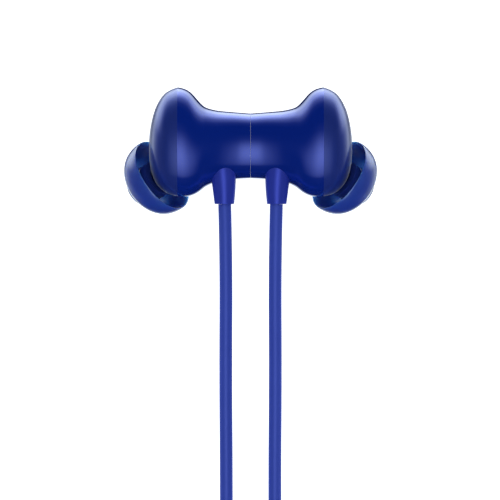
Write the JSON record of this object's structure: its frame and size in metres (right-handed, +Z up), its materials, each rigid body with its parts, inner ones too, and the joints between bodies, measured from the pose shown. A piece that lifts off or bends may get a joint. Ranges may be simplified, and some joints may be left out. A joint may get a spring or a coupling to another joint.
{
  "type": "neckband earphones",
  "caption": "Flexible U-shaped neckband with a pod at each end, cords to two in-ear buds that snap together back to back by magnets.",
  "frame": {"origin": "on the table the object lies on, under the centre of the box around the neckband, pods and buds (the cords left out)", "axes": "+Z up from the table; +Y towards the nape, with the pods towards -Y; +X towards the pod with the buttons"},
  "size_m": [0.142, 0.2367, 0.0156],
  "materials": {
    "bud_shell": "glossy",
    "pod_shell": "satin",
    "button_pad": "satin",
    "band_silicone": "matte",
    "tip_silicone": "satin",
    "soft_plastic": "satin",
    "steel": "satin",
    "foil": "satin",
    "board": "satin",
    "inner_plastic": "matte",
    "clear": "clear"
  },
  "bodies": {
    "neckband": {"band_sleeve": "band_silicone", "spring_wire": "steel", "link_cable": "soft_plastic", "left_cord_bud_side": "soft_plastic", "left_cord_pod_side": "soft_plastic", "right_cord_bud_side": "soft_plastic", "right_cord_pod_side": "soft_plastic"},
    "left_arm": {"left_pod_bottom": "pod_shell", "left_pod_top": "pod_shell", "left_pod_strain_relief": "soft_plastic", "left_band_collar": "band_silicone", "battery_cell": "foil", "protection_board": "board"},
    "right_arm": {"right_pod_bottom": "pod_shell", "right_pod_top": "pod_shell", "right_pod_strain_relief": "soft_plastic", "right_band_collar": "band_silicone", "main_board": "board", "key_board": "board", "shield_can": "steel", "usb_c_socket": "steel", "microphone": "foil", "microphone_gasket": "soft_plastic", "status_light": "inner_plastic", "light_pipe": "clear", "volume_up_dome": "steel", "multifunction_dome": "steel", "volume_down_dome": "steel"},
    "left_bud": {"left_bud_rear_shell": "bud_shell", "left_bud_front_shell": "bud_shell", "left_nozzle_mesh": "steel", "left_bud_strain_relief": "soft_plastic", "left_cable_anchor": "steel", "left_snap_magnet": "steel", "left_driver_frame": "steel", "left_driver_magnet": "steel", "left_driver_diaphragm": "board", "left_driver_carrier": "inner_plastic"},
    "right_bud": {"right_bud_rear_shell": "bud_shell", "right_bud_front_shell": "bud_shell", "right_nozzle_mesh": "steel", "right_bud_strain_relief": "soft_plastic", "right_cable_anchor": "steel", "right_snap_magnet": "steel", "right_driver_frame": "steel", "right_driver_magnet": "steel", "right_driver_diaphragm": "board", "right_driver_carrier": "inner_plastic"},
    "left_tip": {"left_ear_tip": "tip_silicone"},
    "right_tip": {"right_ear_tip": "tip_silicone"},
    "volume_up_key": {"volume_up_button": "button_pad"},
    "multifunction_key": {"multifunction_button": "button_pad"},
    "volume_down_key": {"volume_down_button": "button_pad"}
  },
  "joints": [
    {"name": "left_arm_flex", "type": "hinge", "parent": "neckband", "child": "left_arm", "pos_m": [-0.046, 0.066, 0.0025], "axis": [0, 0, -1], "range_deg": [-6, 12], "stiffness_Nm_per_rad": 0.5, "deforming": ["band_sleeve", "spring_wire", "link_cable", "left_cord_pod_side"]},
    {"name": "left_bud_part", "type": "slide", "parent": "neckband", "child": "left_bud", "axis": [-1, 0, 0], "range_m": [0, 0.012], "deforming": ["left_cord_bud_side"]},
    {"name": "left_tip_pull", "type": "slide", "parent": "left_bud", "child": "left_tip", "axis": [-0.7278, -0.4909, -0.4789], "range_m": [0, 0.007]},
    {"name": "right_arm_flex", "type": "hinge", "parent": "neckband", "child": "right_arm", "pos_m": [0.046, 0.066, 0.0025], "axis": [0, 0, 1], "range_deg": [-6, 12], "stiffness_Nm_per_rad": 0.5, "deforming": ["band_sleeve", "spring_wire", "link_cable", "right_cord_pod_side"]},
    {"name": "right_bud_part", "type": "slide", "parent": "neckband", "child": "right_bud", "axis": [1, 0, 0], "range_m": [0, 0.012], "deforming": ["right_cord_bud_side"]},
    {"name": "right_tip_pull", "type": "slide", "parent": "right_bud", "child": "right_tip", "axis": [0.7278, -0.4909, -0.4789], "range_m": [0, 0.007]},
    {"name": "volume_up_press", "type": "slide", "parent": "right_arm", "child": "volume_up_key", "axis": [0, 0, -1], "range_m": [0, 0.0003], "stiffness_N_per_m": 400},
    {"name": "multifunction_press", "type": "slide", "parent": "right_arm", "child": "multifunction_key", "axis": [0, 0, -1], "range_m": [0, 0.0003], "stiffness_N_per_m": 400},
    {"name": "volume_down_press", "type": "slide", "parent": "right_arm", "child": "volume_down_key", "axis": [0, 0, -1], "range_m": [0, 0.0003], "stiffness_N_per_m": 400}
  ]
}
